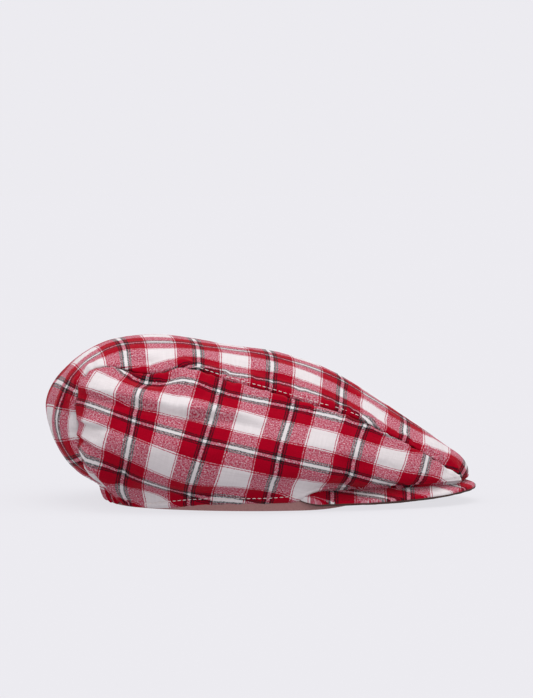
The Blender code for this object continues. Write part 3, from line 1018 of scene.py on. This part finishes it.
def add_stitches(name, piece, run, distance, inset, ends, side):
    """A row of stitches at an inset from an edge, between two places along the cap."""
    places = places_of(piece.data)
    normals = normals_of(piece.data)
    on_row = np.abs(distance - inset) < ROW_WIDTH
    on_row &= (places[:, 0] > ends[0]) & (places[:, 0] < ends[1]) & (places[:, 1] * side > 0)
    steps = np.round(run[on_row] / ROW_STEP).astype(int)
    lifted = places[on_row] + normals[on_row] * STITCH_LIFT
    row = np.array([lifted[steps == step].mean(axis=0) for step in np.unique(steps)])
    for _ in range(ROW_SMOOTHING):
        row[1:-1] = (row[:-2] + 2 * row[1:-1] + row[2:]) / 4
    if row[0, 0] > row[-1, 0]:
        row = row[::-1]
    curve = bpy.data.curves.new(name + "_path", "CURVE")
    curve.dimensions = "3D"
    spline = curve.splines.new("POLY")
    spline.points.add(len(row) - 1)
    spline.points.foreach_set("co", np.column_stack([row, np.ones(len(row))]).ravel())
    path = bpy.data.objects.new(name + "_path", curve)
    bpy.context.scene.collection.objects.link(path)
    bpy.ops.mesh.primitive_uv_sphere_add(segments=8, ring_count=6, radius=0.5)
    stitches = bpy.context.object
    stitches.name = name
    stitches.scale = (STITCH_LENGTH, STITCH_THICKNESS, STITCH_THICKNESS)
    bpy.ops.object.transform_apply(location=False, rotation=False, scale=True)
    apply_modifier(
        stitches,
        "ARRAY",
        fit_type="FIT_CURVE",
        curve=path,
        use_relative_offset=False,
        use_constant_offset=True,
        constant_offset_displace=(STITCH_PITCH, 0, 0),
    )
    apply_modifier(stitches, "CURVE", object=path, deform_axis="POS_X")
    bpy.data.objects.remove(path)
    dress(stitches, SEWING_THREAD)


def sewn_cloth(node, marks, side):
    """A panel's outer side with the check laid on it, fine but still smooth."""
    piece = outer_side(node, node + "_cloth")
    make_fine(piece, 1)
    lay_check(piece, marks, side)
    make_fine(piece, 2)
    return piece


def split_rim(piece, others):
    """A panel's rim as seam, which another panel's rim runs beside, and hem."""
    places, run = rim_of(piece.data)
    _, distance = nearest(rims_of(others), places)
    sewn = distance < SEAM_CLOSE
    return {"seam": (places[sewn], run[sewn]), "hem": (places[~sewn], run[~sewn])}


def beside(edge, places):
    """How far along an edge each place is, and how far from it."""
    points, run = edge
    number, distance = nearest(points, places)
    return run[number], distance


def lap_over(edge, others, places):
    """Moves the cloth beside a seam unevenly over the other panels' rims."""
    points, run = edge
    other_points = rims_of(others)
    facing, _ = nearest(other_points, points)
    across = other_points[facing] - points
    across /= np.linalg.norm(across, axis=1, keepdims=True)
    here, distance = nearest(points, places)
    lap = LAP * (1 + LAP_WAVE * ripple(SEAM_WAVES, run[here])) * fade_out(distance, LAP_WIDTH)
    return across[here] * lap[:, None]


def give_wall(piece, node):
    """Gives a sheet its wall and lets it stand for its solid."""
    apply_modifier(piece, "SOLIDIFY", thickness=CLOTH_WALL, offset=-1.0)
    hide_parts(node)
    dress(piece, CHECK_COTTON)


def finish_side(piece, node, top, folds, side):
    """Folds, puckers and stitches one side panel."""
    mesh = piece.data
    places = places_of(mesh)
    rim = split_rim(piece, [top])
    seam_run, seam_distance = beside(rim["seam"], places)
    hem_run, hem_distance = beside(rim["hem"], places)
    height = fold_height(places, folds) * fade_in(np.minimum(seam_distance, hem_distance), FOLD_FADE)
    height += swell_height(places, SWELLS)
    height += seam_relief(SIDE_SEAM_PROFILE, SIDE_PUCKER, seam_run, seam_distance)
    height += hem_relief(places, hem_run, hem_distance)
    moved = places + normals_of(mesh) * height[:, None]
    moved += draw_in(places, places[:, 0].max(), FRONT_END_LENGTH, FRONT_END_MOVE)
    moved += drop_hem(places, hem_distance)
    moved[:, 2] = np.maximum(moved[:, 2], HEM_LOWEST)
    set_places(mesh, moved)
    add_stitches(
        node + "_hem_stitches", piece, hem_run, hem_distance, HEM_STITCH_INSET, HEM_STITCH_RUN, side
    )
    give_wall(piece, node)


def finish_top(piece, node, sides, right_folds, left_folds):
    """Folds, puckers and stitches the top panel, whose edges lap over the side panels."""
    mesh = piece.data
    places = places_of(mesh)
    rim = split_rim(piece, sides)
    seam_run, seam_distance = beside(rim["seam"], places)
    hem_run, hem_distance = beside(rim["hem"], places)
    height = swell_height(places, SWELLS)
    for side, folds in ((-1, right_folds), (1, left_folds)):
        reach = np.clip(side * places[:, 1] / TOP_FOLD_FADE, 0, 1)
        height += fold_height(places, folds) * reach * fade_in(seam_distance, FOLD_FADE)
    height += seam_relief(TOP_SEAM_PROFILE, TOP_PUCKER, seam_run, seam_distance)
    height += hem_relief(places, hem_run, hem_distance)
    moved = places + normals_of(mesh) * height[:, None]
    moved += lap_over(rim["seam"], sides, places)
    set_places(mesh, moved)
    for side, label in ((-1, "right"), (1, "left")):
        add_stitches(
            "seam_stitches_" + label, piece, seam_run, seam_distance,
            SEAM_STITCH_INSET, SEAM_STITCH_RUN, side,
        )
    give_wall(piece, node)


def make_crown():
    """The crown's three panels, sewn together."""
    right = sewn_cloth("side_panel_right", SIDE_MARKS, -1)
    left = sewn_cloth("side_panel_left", SIDE_MARKS, 1)
    top = sewn_cloth("top_panel", TOP_MARKS, -1)
    top_copy = top.copy()
    top_copy.data = top.data.copy()
    finish_top(top, "top_panel", [right, left], RIGHT_TOP_FOLDS, LEFT_TOP_FOLDS)
    finish_side(right, "side_panel_right", top_copy, RIGHT_SIDE_FOLDS, -1)
    finish_side(left, "side_panel_left", top_copy, LEFT_SIDE_FOLDS, 1)
    bpy.data.objects.remove(top_copy)


def paint_underside_shade(mesh):
    """Marks the faces that turn down for painted shade: a plain dark colour that stands for the shade
    under the peak's edge.
    """
    turned_down = -normals_of(mesh)[:, 2]
    shade_share = np.clip((turned_down - UNDERSIDE_SHADE_START) / UNDERSIDE_SHADE_BLEND, 0, 1)
    mesh.attributes.new("painted_shade", "FLOAT", "POINT").data.foreach_set("value", shade_share)


def make_peak():
    """The peak: check cloth drawn over a board that bends down at both sides."""
    piece = whole_solid("peak", "peak_cloth")
    make_fine(piece, 3)
    mesh = piece.data
    places = places_of(mesh)
    # The cloth is a little longer along the bend than it is in plan
    bend = 1 + (places[:, 1] / PEAK_BEND_RADIUS) ** 2 / 6
    check = np.column_stack([places[:, 0] - PEAK_LINE_X, places[:, 1] * bend + PEAK_LINE_ARC])
    write_check(piece, check)
    height = swell_height(places, PEAK_SWELLS)
    moved = places + normals_of(mesh) * height[:, None]
    moved += draw_in(places, places[:, 0].min(), HORN_LENGTH, HORN_MOVE)
    horn = fade_out(places[:, 0] - HORN_RISE_X, HORN_RISE_LENGTH)
    moved[:, 2] += HORN_RISE * horn * np.clip(normals_of(mesh)[:, 2], 0, 1)
    set_places(mesh, moved)
    # Painted shade on the peak's down-turned faces
    paint_underside_shade(mesh)
    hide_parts("peak")
    dress(piece, CHECK_COTTON)


def lean_in(places):
    """How far forward the bands' rear leans towards the floor."""
    rear = np.clip((LEAN_START_X - places[:, 0]) / LEAN_LENGTH, 0, 1)
    low = np.clip(1 - places[:, 2] / LEAN_HEIGHT, 0, 1)
    return LEAN * rear * low


def make_sweatband():
    """The plain ring inside the hem, with soft edges."""
    piece = whole_solid("sweatband", "sweatband_cloth")
    apply_modifier(piece, "BEVEL", width=SWEATBAND_ROUNDING, segments=3, limit_method="ANGLE")
    make_fine(piece, 1)
    places = places_of(piece.data)
    places[:, 0] += lean_in(places)
    set_places(piece.data, places)
    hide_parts("sweatband")
    dress(piece, ROSE_COTTON)


def make_back_band():
    """The gathered casing at the rear of the hem."""
    piece = whole_solid("back_band", "back_band_cloth")
    make_fine(piece, 3)
    mesh = piece.data
    places = places_of(mesh)
    run = np.arctan2(places[:, 1], BAND_CENTRE_X - places[:, 0]) * BAND_RADIUS
    write_check(piece, np.column_stack([places[:, 2] + BAND_ROW, run * GATHER_RATIO + BAND_LINE]))
    height = BAND_GATHER * ripple(GATHER_WAVES, run)
    moved = places + normals_of(mesh) * height[:, None]
    moved[:, 0] += lean_in(places)
    moved[:, 2] += BAND_RISE * places[:, 2] / places[:, 2].max()
    set_places(mesh, moved)
    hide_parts("back_band")
    dress(piece, CHECK_COTTON)


def add_floor():
    """A pale, glowing floor to the horizon, which takes only a soft shadow."""
    bpy.ops.mesh.primitive_plane_add(size=FLOOR_SIZE)
    floor = bpy.context.object
    floor.name = "floor"
    material, _, shader = new_material("floor_pale", FLOOR_ROUGHNESS)
    shader.inputs["Base Color"].default_value = (*FLOOR_PALE, 1.0)
    shader.inputs["Emission Color"].default_value = (*FLOOR_GLOW, 1.0)
    shader.inputs["Emission Strength"].default_value = 1.0
    floor.data.materials.append(material)


def add_light():
    """A dome of soft light, stronger overhead; the camera sees it as an even pale backdrop."""
    world = bpy.data.worlds.new("studio")
    bpy.context.scene.world = world
    world.use_nodes = True
    tree = world.node_tree
    tree.nodes.clear()
    direction = new_node(tree, "ShaderNodeTexCoord").outputs["Generated"]
    split = new_node(tree, "ShaderNodeSeparateXYZ")
    feed(tree, split.inputs[0], direction)
    up = calculate(tree, "MAXIMUM", split.outputs["Z"], 0.0)
    overhead = calculate(tree, "POWER", up, OVERHEAD_POWER)
    towards_eye = calculate(tree, "MAXIMUM", calculate(tree, "MULTIPLY", split.outputs["Y"], -1.0), 0.0)
    front = calculate(tree, "POWER", towards_eye, FRONT_POWER)
    base = calculate(tree, "MULTIPLY_ADD", overhead, DOME_OVERHEAD, DOME_EVEN)
    facing = calculate(tree, "MULTIPLY_ADD", front, DOME_FRONT, base)
    sideways = calculate(tree, "POWER", calculate(tree, "ABSOLUTE", split.outputs["X"]), SIDES_POWER)
    strength = calculate(tree, "MULTIPLY_ADD", sideways, DOME_SIDES, facing)
    dome = new_node(tree, "ShaderNodeBackground")
    dome.inputs["Color"].default_value = (1.0, 1.0, 1.0, 1.0)
    feed(tree, dome.inputs["Strength"], strength)
    backdrop = new_node(tree, "ShaderNodeBackground")
    backdrop.inputs["Color"].default_value = (*BACKDROP_PALE, 1.0)
    choice = new_node(tree, "ShaderNodeMixShader")
    feed(tree, choice.inputs[0], new_node(tree, "ShaderNodeLightPath").outputs["Is Camera Ray"])
    feed(tree, choice.inputs[1], dome.outputs[0])
    feed(tree, choice.inputs[2], backdrop.outputs[0])
    end = new_node(tree, "ShaderNodeOutputWorld")
    feed(tree, end.inputs["Surface"], choice.outputs[0])
    bpy.context.scene.view_settings.view_transform = "Standard"


def add_camera():
    """The photograph's view: from the cap's right side, a little above it."""
    camera = bpy.data.objects.new("camera", bpy.data.cameras.new("camera"))
    bpy.context.scene.collection.objects.link(camera)
    towards_eye = Vector((0, -cos(EYE_ELEVATION), sin(EYE_ELEVATION)))
    camera.location = AIM + EYE_DISTANCE * towards_eye
    camera.rotation_euler = towards_eye.to_track_quat("Z", "Y").to_euler()
    camera.data.sensor_width = SENSOR
    camera.data.lens = SENSOR * EYE_DISTANCE / VIEW_HEIGHT
    bpy.context.scene.camera = camera


make_crown()
make_peak()
make_sweatband()
make_back_band()
add_floor()
add_light()
add_camera()
